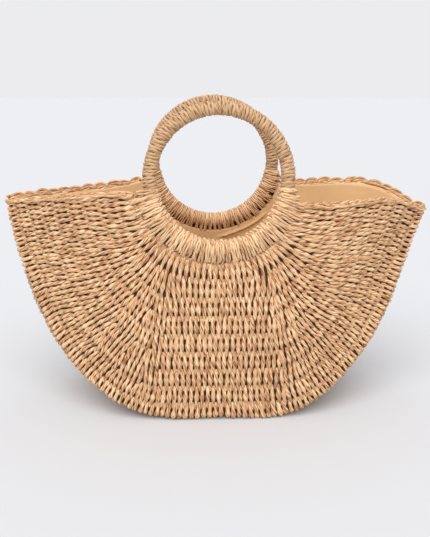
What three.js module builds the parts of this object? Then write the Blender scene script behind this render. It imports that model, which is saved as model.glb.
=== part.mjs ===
// Half-moon handbag woven from twisted straw cord, with two round ring handles and a cloth lining.
// Lengths are in millimetres. +Z is up, the front panel faces -Y, and the base rests on z = 0.

import * as THREE from 'three';
import { ParametricGeometry } from 'three/addons/geometries/ParametricGeometry.js';
import { mergeVertices } from 'three/addons/utils/BufferGeometryUtils.js';

// Panel outline, seen from the front
const HALF_WIDTH_LEFT = 209;
const HALF_WIDTH_RIGHT = 213;
const BODY_HEIGHT = 208; // from the base to the corners' level, before their drop
const CORNER_DROP_LEFT = 4;
const CORNER_DROP_RIGHT = 14;

// Depth from front to back
const BASE_HALF_DEPTH = 76;
const EDGE_ROUND = 20; // how far the lower edge takes to turn from panel to base
const PANEL_BULGE = 6; // outward swell at the middle of each panel

// Walls
const WALL = 4.5; // two thicknesses of woven cord
const LINING_WALL = 1.2;
const GAP = 0.3; // clearance between neighbouring pieces
const LINING_GAP = 1.3; // the cloth lies loose against the wall

// Ring handles
const RING_OUTER_DIAMETER = 141.5;
const RING_TUBE_DIAMETER = 13.8;
const RING_SPREAD = 112; // between the two ring centres
const RING_HEIGHT = 232; // front ring's centre above the base
const BACK_RING_RISE = 5; // the back ring stands this much higher
const BACK_RING_SHIFT = -1.5; // and this far to the right of the front one
const RING_LEAN_DEG = 6; // each ring's top leans towards the other's

// Looped binding that holds each ring to its panel
const BINDING_WALL = 1.5;
const BINDING_REACH = 7; // from the ring's outer side to the panel's upper edge
const BINDING_SPAN_DEG = 82; // to each side of the ring's lowest point
const LIP_FADE_DEG = 9; // the reach goes back to the ring over this angle past the panel

// Where each panel's top edge meets its ring, from the ring's lowest point
const FRONT_LEFT_MEETS_DEG = 78;
const FRONT_RIGHT_MEETS_DEG = 71;
const BACK_LEFT_MEETS_DEG = 75.5;
const BACK_RIGHT_MEETS_DEG = 72;

// How far each top edge arches above a straight line from ring to corner
const FRONT_LEFT_ARCH = 3.5;
const FRONT_RIGHT_ARCH = 8;
const BACK_LEFT_ARCH = -3.5;
const BACK_RIGHT_ARCH = 14;

// Below 1 an arch is highest near the ring, above 1 near the corner
const LEFT_ARCH_SKEW = 0.6;
const FRONT_RIGHT_ARCH_SKEW = 1.9;
const BACK_RIGHT_ARCH_SKEW = 1.7;

// Scalloped braid along the top edges
const BRAID_WIDTH = 7.5;
const BRAID_THICKNESS = 5;
const SCALLOP_PITCH = 13;
const SCALLOP_RISE = 2.5;
const BRAID_START = 3; // clear of the binding at both ends
const BRAID_GAP = 0.6; // above the top edge

// Upper edge of the lining below the rim, along the panel and round it
const LINING_TOP_SHARE = 0.01;
const LINING_END_TURN = 0.992;

// Sections round the lower edge, from the base's middle (turn 0) to the corner (turn 1). Left and right
// are the outline's reach as shares of the outline's own sizes, deep is a share of the base's half depth.
const SECTIONS = [
  { turn: 0.0, left: 1.02, right: 1.02, deep: 1.0 },
  { turn: 0.15, left: 1.052, right: 1.062, deep: 0.99 },
  { turn: 0.3, left: 1.064, right: 1.049, deep: 0.93 },
  { turn: 0.45, left: 1.058, right: 1.027, deep: 0.68 },
  { turn: 0.6, left: 1.034, right: 1.001, deep: 0.42 },
  { turn: 0.75, left: 1.0, right: 0.968, deep: 0.26 },
  { turn: 0.9, left: 0.99, right: 0.966, deep: 0.16 },
  { turn: 1.0, left: 1.0, right: 1.0, deep: 0.13 },
];

const CORNER_POWER = 3; // how late the outline drops towards its corner
const ARCH_POWER = 6; // how near the top edge the arch stays
const BASE_SQUARENESS = 5; // superellipse power of the edge at the base
const FOLD_SQUARENESS = 2; // and at the corner, where it is a round fold
const LEAN_POWER_BASE = 1.1; // how the panel's depth changes from ring to edge at the base
const LEAN_POWER_RIM = 1.8; // and along the top edge, where it closes late

// Facets
const TURN_STEPS = 36;
const PANEL_STEPS = 8;
const EDGE_STEPS = 8;
const RING_STEPS = 30;
const RING_SIDES = 8;
const BINDING_STEPS = 16;
const BINDING_SIDES = 10;
const BRAID_SIDES = 6;
const STEPS_PER_SCALLOP = 3;
const BRAID_PATH_POINTS = 10; // along each panel's top edge
const PATH_LENGTH_SAMPLES = 600; // for even steps along a braid
const MERGE_DISTANCE = 0.001; // corners nearer than this are one corner

const UPWARDS = new THREE.Vector3(0, 0, 1);
const FRONT = -1;
const BACK = 1;
const RING_TUBE_RADIUS = RING_TUBE_DIAMETER / 2;
const RING_MEAN_RADIUS = RING_OUTER_DIAMETER / 2 - RING_TUBE_RADIUS;
const BINDING_EDGE_RADIUS = RING_OUTER_DIAMETER / 2 + BINDING_REACH;
const RING_LEAN = THREE.MathUtils.degToRad(RING_LEAN_DEG);
const MEETS_DEG = {
  [FRONT]: { left: FRONT_LEFT_MEETS_DEG, right: FRONT_RIGHT_MEETS_DEG },
  [BACK]: { left: BACK_LEFT_MEETS_DEG, right: BACK_RIGHT_MEETS_DEG },
};
const ARCH = {
  [FRONT]: { left: FRONT_LEFT_ARCH, right: FRONT_RIGHT_ARCH },
  [BACK]: { left: BACK_LEFT_ARCH, right: BACK_RIGHT_ARCH },
};
const ARCH_SKEW = {
  [FRONT]: { left: LEFT_ARCH_SKEW, right: FRONT_RIGHT_ARCH_SKEW },
  [BACK]: { left: LEFT_ARCH_SKEW, right: BACK_RIGHT_ARCH_SKEW },
};

const turns = SECTIONS.map((row) => row.turn);
const sectionCurve = (column) =>
  new THREE.CubicInterpolant(turns, SECTIONS.map((row) => row[column]), 1);
const reachCurve = { left: sectionCurve('left'), right: sectionCurve('right') };
const deepCurve = sectionCurve('deep');

const signedPower = (value, power) => Math.sign(value) * Math.abs(value) ** power;
const handOf = (turn) => (turn < 0 ? 'left' : 'right');
const ringCentre = (side) => {
  const rise = side === BACK ? BACK_RING_RISE : 0;
  const shift = side === BACK ? BACK_RING_SHIFT : 0;
  return new THREE.Vector3(shift, (side * RING_SPREAD) / 2, RING_HEIGHT + rise);
};

// Lower edge of the panels in the front view, before it is cut off flat at the base.
function outline(turn) {
  const amount = Math.abs(turn);
  const hand = handOf(turn);
  const reach = reachCurve[hand].evaluate(amount)[0];
  const angle = (turn * Math.PI) / 2;
  const halfWidth = turn < 0 ? HALF_WIDTH_LEFT : HALF_WIDTH_RIGHT;
  const drop = turn < 0 ? CORNER_DROP_LEFT : CORNER_DROP_RIGHT;
  const x = halfWidth * reach * Math.sin(angle);
  const z = BODY_HEIGHT * (1 - reach * Math.cos(angle)) - drop * amount ** CORNER_POWER;
  return new THREE.Vector2(x, z);
}

// Where a panel starts at its ring's binding: x and z in the front view, and the depth y.
function panelStart(turn, side) {
  const meets = THREE.MathUtils.degToRad(MEETS_DEG[side][handOf(turn)]);
  const centre = ringCentre(side);
  const radius = BINDING_EDGE_RADIUS + GAP;
  const below = radius * Math.cos(turn * meets);
  const x = centre.x + radius * Math.sin(turn * meets);
  const z = centre.z - below * Math.cos(RING_LEAN);
  const y = RING_SPREAD / 2 + below * Math.sin(RING_LEAN) + WALL / 2;
  return { x, y, z };
}

// The edge's half depth, its rounding and its squareness at a turn.
function edgeForm(turn) {
  const share = deepCurve.evaluate(Math.abs(turn))[0];
  const depth = BASE_HALF_DEPTH * share;
  const round = Math.min(EDGE_ROUND, depth);
  const power = 2 / THREE.MathUtils.lerp(FOLD_SQUARENESS, BASE_SQUARENESS, share);
  return { depth, round, power };
}

// A point of the bag's wall. Station 0 to 1 runs down the front panel, 1 to 2 round the edge and the base,
// and 2 to 3 up the back panel. Inset is the depth below the outer face.
function wallPoint(turn, station, inset, target) {
  const side = station <= 1.5 ? FRONT : BACK;
  const start = panelStart(turn, side);
  const end = outline(turn);
  const run = new THREE.Vector2(end.x - start.x, end.y - start.z);
  const length = run.length();
  run.divideScalar(length);
  const { depth, round, power } = edgeForm(turn);
  let along;
  let y;
  let lift = 0;
  if (station >= 1 && station <= 2) {
    const angle = Math.PI * (station - 1.5);
    along = length - round + (round - inset) * Math.abs(Math.cos(angle)) ** power;
    y = (depth - inset) * signedPower(Math.sin(angle), power);
  } else {
    const share = station < 1 ? station : 3 - station;
    const amount = Math.abs(turn);
    const lean = THREE.MathUtils.lerp(LEAN_POWER_BASE, LEAN_POWER_RIM, amount);
    const swell = PANEL_BULGE * Math.sin(Math.PI * share) * Math.cos((turn * Math.PI) / 2);
    along = (length - round) * share;
    y = side * (THREE.MathUtils.lerp(start.y - inset, depth - inset, share ** lean) + swell);
    const hand = handOf(turn);
    const arch = ARCH[side][hand] * Math.sin(Math.PI * share ** ARCH_SKEW[side][hand]);
    lift = arch * amount ** ARCH_POWER;
  }
  const z = start.z + run.y * along + lift;
  return target.set(start.x + run.x * along, y, Math.max(z, inset));
}

// Makes one closed body from a grid of points: drops facets without area and merges shared corners.
function closedGeometry(pointAt, columns, rows) {
  const grid = (u, v, target) => pointAt(Math.round(u * columns), Math.round(v * rows), target);
  const surface = new ParametricGeometry(grid, columns, rows);
  surface.deleteAttribute('normal');
  surface.deleteAttribute('uv');
  const merged = mergeVertices(surface, MERGE_DISTANCE);
  const kept = [];
  for (let i = 0; i < merged.index.count; i += 3) {
    const [a, b, c] = [0, 1, 2].map((k) => merged.index.getX(i + k));
    if (a !== b && b !== c && c !== a) kept.push(a, b, c);
  }
  merged.setIndex(kept);
  merged.computeVertexNormals();
  return merged;
}

// A wall between two insets, over a stretch of turns and stations. Its section is a loop down the outer
// face and back up the inner one, and it ends flat at the first and last turn.
function wallGeometry({ outside, inside, endTurn, topShare }) {
  const stations = [];
  for (let i = 0; i < PANEL_STEPS; i += 1) stations.push(Math.max(i / PANEL_STEPS, topShare));
  for (let i = 0; i <= EDGE_STEPS; i += 1) stations.push(1 + i / EDGE_STEPS);
  for (let i = PANEL_STEPS - 1; i >= 0; i -= 1) stations.push(3 - stations[i]);
  const count = stations.length;
  const middle = (outside + inside) / 2;
  const pointAt = (column, row, target) => {
    const loop = column % (2 * count);
    const outer = loop < count;
    const station = stations[outer ? loop : 2 * count - 1 - loop];
    const step = THREE.MathUtils.clamp(row - 1, 0, TURN_STEPS);
    const turn = THREE.MathUtils.clamp((2 * step) / TURN_STEPS - 1, -endTurn, endTurn);
    const cap = row === 0 || row === TURN_STEPS + 2;
    return wallPoint(turn, station, cap ? middle : outer ? outside : inside, target);
  };
  return closedGeometry(pointAt, 2 * count, TURN_STEPS + 2);
}

// The looped binding: a sleeve round the lower part of a ring, with a lip that reaches the panel and sinks
// into the sleeve past the panel's ends. It is drawn in the ring's own plane, with the ring's centre at the
// origin.
function bindingGeometry(side) {
  const fit = 1 / Math.cos(Math.PI / BINDING_SIDES);
  const boreRadius = (RING_TUBE_RADIUS + GAP) * fit;
  const sleeveRadius = (RING_TUBE_RADIUS + GAP + BINDING_WALL) * fit;
  const span = THREE.MathUtils.degToRad(BINDING_SPAN_DEG);
  const rows = 2 * (BINDING_STEPS + 1);
  const pointAt = (column, row, target) => {
    const round = row % rows;
    const outer = round <= BINDING_STEPS;
    const step = outer ? round : rows - 1 - round;
    const angle = span * ((2 * step) / BINDING_STEPS - 1);
    const corner = ((column % BINDING_SIDES) + 0.5) / BINDING_SIDES;
    const around = corner * 2 * Math.PI;
    const radius = outer ? sleeveRadius : boreRadius;
    let out = RING_MEAN_RADIUS + radius * Math.cos(around);
    let across = radius * Math.sin(around);
    const lip = Math.min(corner, 1 - corner) * BINDING_SIDES < 1;
    const past = THREE.MathUtils.radToDeg(Math.abs(angle)) - MEETS_DEG[side][handOf(angle)];
    if (outer && lip) {
      const sunk = THREE.MathUtils.smoothstep(past, 0, LIP_FADE_DEG);
      out = THREE.MathUtils.lerp(BINDING_EDGE_RADIUS, out, sunk);
      across = THREE.MathUtils.lerp(Math.sign(across) * (WALL / 2), across, sunk);
    }
    return target.set(out * Math.sin(angle), across, -out * Math.cos(angle));
  };
  return closedGeometry(pointAt, BINDING_SIDES, rows);
}

// The braid along one side's top edge, from the front ring round the corner to the back ring.
function braidGeometry(hand) {
  const turn = hand === 'left' ? -1 : 1;
  const riseToMiddle = BRAID_GAP + BRAID_THICKNESS / 2;
  const stations = [];
  for (let i = 0; i <= BRAID_PATH_POINTS; i += 1) stations.push(i / BRAID_PATH_POINTS);
  for (let i = 1; i < EDGE_STEPS; i += 1) stations.push(1 + i / EDGE_STEPS);
  for (let i = 0; i <= BRAID_PATH_POINTS; i += 1) stations.push(2 + i / BRAID_PATH_POINTS);
  const rim = stations.map((station) => wallPoint(turn, station, WALL / 2, new THREE.Vector3()));
  const path = new THREE.CatmullRomCurve3(rim);
  path.arcLengthDivisions = PATH_LENGTH_SAMPLES;
  const length = path.getLength();
  const scallops = Math.round((length - 2 * BRAID_START) / SCALLOP_PITCH);
  const steps = scallops * STEPS_PER_SCALLOP;
  const tangent = new THREE.Vector3();
  const up = new THREE.Vector3();
  const across = new THREE.Vector3();
  const pointAt = (column, row, target) => {
    const step = THREE.MathUtils.clamp(row - 1, 0, steps);
    const share = (BRAID_START + ((length - 2 * BRAID_START) * step) / steps) / length;
    path.getPointAt(share, target);
    path.getTangentAt(share, tangent);
    across.crossVectors(UPWARDS, tangent).normalize();
    up.crossVectors(tangent, across);
    target.addScaledVector(up, riseToMiddle);
    if (row === 0 || row === steps + 2) return target;
    const around = ((column % BRAID_SIDES) / BRAID_SIDES) * 2 * Math.PI;
    const scallop = SCALLOP_RISE * Math.abs(Math.sin((Math.PI * step) / STEPS_PER_SCALLOP));
    const height = (BRAID_THICKNESS / 2) * Math.sin(around);
    const raised = height > 0 ? height + scallop * Math.sin(around) : height;
    target.addScaledVector(across, (BRAID_WIDTH / 2) * Math.cos(around));
    return target.addScaledVector(up, raised);
  };
  return closedGeometry(pointAt, BRAID_SIDES, steps + 2);
}

function material(color, roughness) {
  return new THREE.MeshStandardMaterial({ color, roughness, metalness: 0 });
}

function piece(name, geometry, finish) {
  const mesh = new THREE.Mesh(geometry, finish);
  mesh.name = name;
  return mesh;
}

const strawCord = material(0xc69b76, 0.85);
const ringCord = material(0xd1aa83, 0.8);
const bindingCord = material(0xd4ab82, 0.8);
const braidCord = material(0xc9a076, 0.85);
const liningCloth = material(0xdbaf80, 0.95);

// A ring and its binding, standing in the plane of its panel's top.
function handle(side, name) {
  const group = new THREE.Group();
  const ring = new THREE.TorusGeometry(RING_MEAN_RADIUS, RING_TUBE_RADIUS, RING_SIDES, RING_STEPS);
  ring.rotateX(Math.PI / 2);
  group.add(piece(`${name}_handle_ring`, ring, ringCord.clone()));
  group.add(piece(`${name}_ring_binding`, bindingGeometry(side), bindingCord.clone()));
  group.position.copy(ringCentre(side));
  group.rotation.x = side * RING_LEAN;
  return group;
}

const body = piece(
  'basket_body',
  wallGeometry({
    outside: 0,
    inside: WALL,
    endTurn: 1,
    topShare: 0,
  }),
  strawCord,
);

const lining = piece(
  'lining',
  wallGeometry({
    outside: WALL + LINING_GAP,
    inside: WALL + LINING_GAP + LINING_WALL,
    endTurn: LINING_END_TURN,
    topShare: LINING_TOP_SHARE,
  }),
  liningCloth,
);

const bag = new THREE.Group();
bag.add(body, lining);
bag.add(handle(FRONT, 'front'), handle(BACK, 'back'));
bag.add(piece('left_rim_braid', braidGeometry('left'), braidCord));
bag.add(piece('right_rim_braid', braidGeometry('right'), braidCord.clone()));

// The origin is below the middle of the whole bag's width.
const reach = new THREE.Box3().setFromObject(bag);
bag.position.x = -(reach.min.x + reach.max.x) / 2;
bag.position.y = -(reach.min.y + reach.max.y) / 2;

export default bag;
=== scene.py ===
"""A half-moon handbag woven from straw cord, with two ring handles, braided rims and a cloth lining."""

import math

import bpy
import numpy as np
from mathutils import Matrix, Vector


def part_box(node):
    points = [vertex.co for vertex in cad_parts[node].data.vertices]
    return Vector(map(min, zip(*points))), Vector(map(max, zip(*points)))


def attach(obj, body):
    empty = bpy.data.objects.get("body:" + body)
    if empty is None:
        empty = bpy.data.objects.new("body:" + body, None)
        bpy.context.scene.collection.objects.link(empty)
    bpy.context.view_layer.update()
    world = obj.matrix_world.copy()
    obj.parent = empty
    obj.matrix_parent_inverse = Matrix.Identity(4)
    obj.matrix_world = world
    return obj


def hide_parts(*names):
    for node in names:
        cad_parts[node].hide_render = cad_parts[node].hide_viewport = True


bl_info = {
    "name": "Straw Basket Bag",
    "version": (1, 0, 0),
    "blender": (4, 5, 0),
    "location": "View3D > Sidebar > Straw Bag",
    "description": "Weaves a half-moon straw bag with ring handles round its solid model",
    "category": "Add Mesh",
}

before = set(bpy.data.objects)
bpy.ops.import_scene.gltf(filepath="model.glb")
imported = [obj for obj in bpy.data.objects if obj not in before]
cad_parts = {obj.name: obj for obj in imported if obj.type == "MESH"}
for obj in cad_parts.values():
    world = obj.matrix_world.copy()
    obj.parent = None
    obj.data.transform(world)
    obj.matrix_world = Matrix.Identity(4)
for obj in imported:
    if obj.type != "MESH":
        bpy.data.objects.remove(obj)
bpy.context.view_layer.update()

# Sides and hands of the bag
FRONT, BACK = -1, 1
LEFT, RIGHT = -1, 1
SIDES = {"front": FRONT, "back": BACK}
HANDS = {"left": LEFT, "right": RIGHT}

# Form of the woven wall, the same as the solid model's, in metres
HALF_WIDTH = {LEFT: 0.209, RIGHT: 0.213}
BODY_HEIGHT = 0.208
CORNER_DROP = {LEFT: 0.004, RIGHT: 0.014}
BASE_HALF_DEPTH = 0.076
EDGE_ROUND = 0.020
PANEL_BULGE = 0.006
WALL = 0.0045
GAP = 0.0003
RING_OUTER_RADIUS = 0.07075
RING_TUBE_RADIUS = 0.0069
RING_LEAN = math.radians(6)
BINDING_REACH = 0.007
BINDING_SPAN = math.radians(82)
MEETS = {
    FRONT: {LEFT: math.radians(78), RIGHT: math.radians(71)},
    BACK: {LEFT: math.radians(75.5), RIGHT: math.radians(72)},
}
ARCH = {FRONT: {LEFT: 0.0035, RIGHT: 0.008}, BACK: {LEFT: -0.0035, RIGHT: 0.014}}
CORNER_POWER = 3
ARCH_POWER = 6
ARCH_SKEW = {FRONT: {LEFT: 0.6, RIGHT: 1.9}, BACK: {LEFT: 0.6, RIGHT: 1.7}}
SQUARENESS_BASE, SQUARENESS_FOLD = 5, 2
LEAN_POWER_BASE, LEAN_POWER_RIM = 1.1, 1.8
BRAID_START = 0.003
BRAID_GAP = 0.0006

# Sections round the lower edge: reach to the left and right, and depth, as shares of the sizes above
SECTIONS = [
    {"turn": 0.0, "left": 1.02, "right": 1.02, "deep": 1.0},
    {"turn": 0.15, "left": 1.052, "right": 1.062, "deep": 0.99},
    {"turn": 0.3, "left": 1.064, "right": 1.049, "deep": 0.93},
    {"turn": 0.45, "left": 1.058, "right": 1.027, "deep": 0.68},
    {"turn": 0.6, "left": 1.034, "right": 1.001, "deep": 0.42},
    {"turn": 0.75, "left": 1.0, "right": 0.968, "deep": 0.26},
    {"turn": 0.9, "left": 0.99, "right": 0.966, "deep": 0.16},
    {"turn": 1.0, "left": 1.0, "right": 1.0, "deep": 0.13},
]

RING_MEAN_RADIUS = RING_OUTER_RADIUS - RING_TUBE_RADIUS
SEAM_RADIUS = RING_OUTER_RADIUS + BINDING_REACH
MIDDLE_LINE = 1.5  # station where the front half of the wall meets the back half
SEED = 11

# A float's width along its half length in bands, as shares of its greatest width
FLOAT_OUTLINE = (
    (0.0, 0.07, 0.14, 0.24, 0.32, 0.4, 0.5, 0.6, 0.66),
    (1.0, 0.97, 0.78, 0.65, 0.69, 0.78, 0.68, 0.52, 0.2),
)
FLOAT_ENDS_BELOW = 0.08  # how far a float's ends sink, as a share of its rise
FLOAT_DIP_HEIGHT = 0.72  # thickness half a band from a float's middle, as a share of the middle's
FLOAT_TILT_OUT, FLOAT_TILT_ASIDE = 0.6, 1.2  # shares of the unevenness, one band from a float's middle
FLOAT_WIDTH_SPREAD = 0.06

CORD_LOBE = 0.07  # how far the cord's two lobes stand out, as a share of its size
# Strength of the painted highlight on the crests of the straw's folds and of the painted shade in their
# creases, for woven and for wound straw
WOVEN_PAINTED_FOLD_LIGHT, WOUND_PAINTED_FOLD_LIGHT = 1.0, 0.8  # how strongly the straw's folds show
STRAW_COLOURS = ("straw_dark", "straw_light", "straw_stain_and_shade", "painted_gleam")


def unit(vectors):
    return vectors / np.maximum(np.linalg.norm(vectors, axis=-1, keepdims=True), 1e-12)


def blend(a, b, share):
    return a + (b - a) * share


def smooth(share):
    share = np.clip(share, 0, 1)
    return share * share * (3 - 2 * share)


def running_length(points):
    """Distance along each row of points from its first one."""
    steps = np.linalg.norm(np.diff(points, axis=-2), axis=-1)
    return np.concatenate([np.zeros((*steps.shape[:-1], 1)), np.cumsum(steps, axis=-1)], axis=-1)


def read_along(places, row_places, row):
    """Points at other places along one row of points."""
    return np.stack([np.interp(places, row_places, row[:, axis]) for axis in range(3)], axis=-1)


def edge_stations(steps):
    """Stations round the edge to the base's middle line, without the edge's start."""
    return 1 + (MIDDLE_LINE - 1) * np.linspace(0, 1, steps)[1:]


def wall_stations(panel_steps, edge_steps):
    """Stations down a panel and on round the edge to the base's middle line."""
    return np.concatenate([np.linspace(0, 1, panel_steps), edge_stations(edge_steps)])


def tone_of(noise, middle, spread):
    """Tone of a length of straw, from 0 for dark to 1 for light."""
    return np.clip(middle + spread * noise, 0, 1)


def ring_centre(side):
    """Centre of a ring handle, from the middle of its solid."""
    low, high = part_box("front_handle_ring" if side == FRONT else "back_handle_ring")
    return np.array((low + high) / 2)


BAG_MIDDLE_X = ring_centre(FRONT)[0]


def section_curve(column):
    """A smooth curve through one column of the sections, with free ends."""
    turns = np.array([row["turn"] for row in SECTIONS])
    values = np.array([row[column] for row in SECTIONS])
    last = len(turns) - 1

    def at(amount):
        i = np.clip(np.searchsorted(turns, amount, side="right"), 1, last)
        start, end = turns[i - 1], turns[i]
        half = (end - start) / 2
        before = np.where(i > 1, turns[np.maximum(i - 2, 0)], end)
        after = np.where(i < last, turns[np.minimum(i + 1, last)], start)
        value_before = np.where(i > 1, values[np.maximum(i - 2, 0)], values[i])
        value_after = np.where(i < last, values[np.minimum(i + 1, last)], values[i - 1])
        w_before, w_after = half / (start - before), half / (after - end)
        p = (amount - start) / (end - start)
        return (
            value_before * (-w_before * p**3 + 2 * w_before * p**2 - w_before * p)
            + values[i - 1] * ((1 + w_before) * p**3 - (1.5 + 2 * w_before) * p**2 + (w_before - 0.5) * p + 1)
            + values[i] * (-(1 + w_after) * p**3 + (1.5 + w_after) * p**2 + 0.5 * p)
            + value_after * (w_after * p**3 - w_after * p**2)
        )

    return at


REACH = {LEFT: section_curve("left"), RIGHT: section_curve("right")}
DEEP = section_curve("deep")


def by_hand(turn, values):
    return np.where(turn < 0, values[LEFT], values[RIGHT])


def outline(turn):
    """Lower edge of the panels in the front view, before the base cuts it off flat."""
    amount = np.abs(turn)
    reach = np.where(turn < 0, REACH[LEFT](amount), REACH[RIGHT](amount))
    angle = turn * math.pi / 2
    x = by_hand(turn, HALF_WIDTH) * reach * np.sin(angle)
    z = BODY_HEIGHT * (1 - reach * np.cos(angle)) - by_hand(turn, CORNER_DROP) * amount**CORNER_POWER
    return x, z


def panel_start(turn, side):
    """Where a panel starts at its ring's binding."""
    angle = turn * by_hand(turn, MEETS[side])
    radius = SEAM_RADIUS + GAP
    below = radius * np.cos(angle)
    centre = ring_centre(side)
    x = centre[0] - BAG_MIDDLE_X + radius * np.sin(angle)
    y = abs(centre[1]) + below * math.sin(RING_LEAN) + WALL / 2
    return x, y, centre[2] - below * math.cos(RING_LEAN)


def wall_points(side, turn, station, inset):
    """Points of one half of the woven wall. Station 0 to 1 runs down the panel and 1 to 1.5 round the edge
    to the base's middle line. Turn goes from the left corner at -1 to the right one at 1."""
    turn, station = np.broadcast_arrays(np.asarray(turn, float), np.asarray(station, float))
    start_x, start_y, start_z = panel_start(turn, side)
    end_x, end_z = outline(turn)
    run_x, run_z = end_x - start_x, end_z - start_z
    length = np.hypot(run_x, run_z)
    share_deep = DEEP(np.abs(turn))
    depth = BASE_HALF_DEPTH * share_deep
    edge = np.minimum(EDGE_ROUND, depth)
    power = 2 / blend(SQUARENESS_FOLD, SQUARENESS_BASE, share_deep)
    amount = np.abs(turn)
    # The panel
    share = np.clip(station, 0, 1)
    lean = blend(LEAN_POWER_BASE, LEAN_POWER_RIM, amount)
    swell = PANEL_BULGE * np.sin(math.pi * share) * np.cos(turn * math.pi / 2)
    skew = by_hand(turn, ARCH_SKEW[side])
    lift = by_hand(turn, ARCH[side]) * amount**ARCH_POWER * np.sin(math.pi * share**skew)
    along = (length - edge) * share
    out = blend(start_y - inset, depth - inset, share**lean) + swell
    # The rounded edge and the base
    angle = math.pi * (MIDDLE_LINE - np.maximum(station, 1))
    round_along = length - edge + (edge - inset) * np.abs(np.cos(angle)) ** power
    round_out = (depth - inset) * np.abs(np.sin(angle)) ** power
    on_edge = station > 1
    along = np.where(on_edge, round_along, along)
    out = np.where(on_edge, round_out, out)
    lift = np.where(on_edge, 0, lift)
    x = BAG_MIDDLE_X + start_x + run_x / length * along
    z = np.maximum(start_z + run_z / length * along + lift, inset)
    return np.stack([x, side * out, z], axis=-1)


def new_piece(name, points, faces, material, fibre=None, tone=None):
    """A mesh object on the bag, with the cord's own coordinates kept for its material."""
    mesh = bpy.data.meshes.new(name)
    mesh.from_pydata(points.reshape(-1, 3).tolist(), [], faces)
    if fibre is not None:
        mesh.attributes.new("fibre", "FLOAT_VECTOR", "POINT").data.foreach_set("vector", fibre.ravel())
        mesh.attributes.new("tone", "FLOAT", "POINT").data.foreach_set("value", tone.ravel())
    mesh.polygons.foreach_set("use_smooth", [True] * len(mesh.polygons))
    mesh.materials.append(material)
    mesh.update()
    piece = bpy.data.objects.new(name, mesh)
    bpy.context.scene.collection.objects.link(piece)
    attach(piece, "root")
    return piece


def grid_faces(columns, rows, close_columns=False, close_rows=False):
    """Quads of a grid whose points are stored row by row."""
    a = np.arange(rows if close_rows else rows - 1)[:, None]
    b = np.arange(columns if close_columns else columns - 1)[None, :]
    above, right = (a + 1) % rows, (b + 1) % columns
    corners = [a * columns + b, above * columns + b, above * columns + right, a * columns + right]
    return np.stack(np.broadcast_arrays(*corners), axis=-1).reshape(-1, 4)


class Cords:
    """Twisted cords swept along many paths at once, gathered into one mesh."""

    # Metres that the material's coordinates move on from one cord to the next, and from point to point
    CORD_SHIFT, POINT_SHIFT = 0.37, 1e-4

    def __init__(self, sides, lay, lobe=CORD_LOBE):
        self.sides, self.lay, self.lobe = sides, lay, lobe
        self.points, self.faces, self.fibre, self.tone = [], [], [], []
        self.count = 0

    def add(self, path, up, half_width, half_height, tone, closed=False, offset=0.0):
        """path and up hold (cords, steps, 3), half sizes and tone anything that fits (cords, steps)."""
        cords, steps, _ = path.shape
        half_width = np.broadcast_to(half_width, (cords, steps))[:, :, None, None]
        half_height = np.broadcast_to(half_height, (cords, steps))[:, :, None, None]
        tangent = unit(np.roll(path, -1, 1) - np.roll(path, 1, 1) if closed else np.gradient(path, axis=1))
        across = unit(np.cross(tangent, up))
        rise = np.cross(across, tangent)
        along = running_length(path)[:, :, None]
        around = 2 * math.pi * np.arange(self.sides) / self.sides
        turned = around[None, None, :] - 2 * math.pi * along / self.lay + offset
        swell = (1 + self.lobe * np.cos(2 * turned))[..., None]
        cos, sin = np.cos(around)[None, None, :, None], np.sin(around)[None, None, :, None]
        ring = path[:, :, None, :] + swell * (
            across[:, :, None, :] * half_width * cos + rise[:, :, None, :] * half_height * sin
        )
        size = (half_width + half_height)[..., 0] / 2
        shift = np.arange(cords)[:, None, None] * self.CORD_SHIFT + self.count * self.POINT_SHIFT
        place = np.broadcast_to(along + shift, turned.shape)
        fibre = np.stack([size * np.cos(turned), size * np.sin(turned), place], axis=-1)
        tone = np.broadcast_to(np.broadcast_to(tone, (cords, steps))[:, :, None], turned.shape)
        per_cord = steps * self.sides
        quads = grid_faces(self.sides, steps, close_columns=True, close_rows=closed)
        starts = self.count + per_cord * np.arange(cords)
        self.faces += (quads[None] + starts[:, None, None]).reshape(-1, 4).tolist()
        if not closed:
            ends = np.arange(self.sides)
            self.faces += (ends[None] + starts[:, None]).tolist()
            self.faces += (ends[::-1][None] + starts[:, None] + per_cord - self.sides).tolist()
        self.points.append(ring.reshape(-1, 3))
        self.fibre.append(fibre.reshape(-1, 3))
        self.tone.append(tone.reshape(-1))
        self.count += cords * per_cord

    def piece(self, name, material, slot):
        points, fibre, tone = (np.concatenate(parts) for parts in (self.points, self.fibre, self.tone))
        return new_piece(name, points, self.faces, material, fibre, tone)


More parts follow.
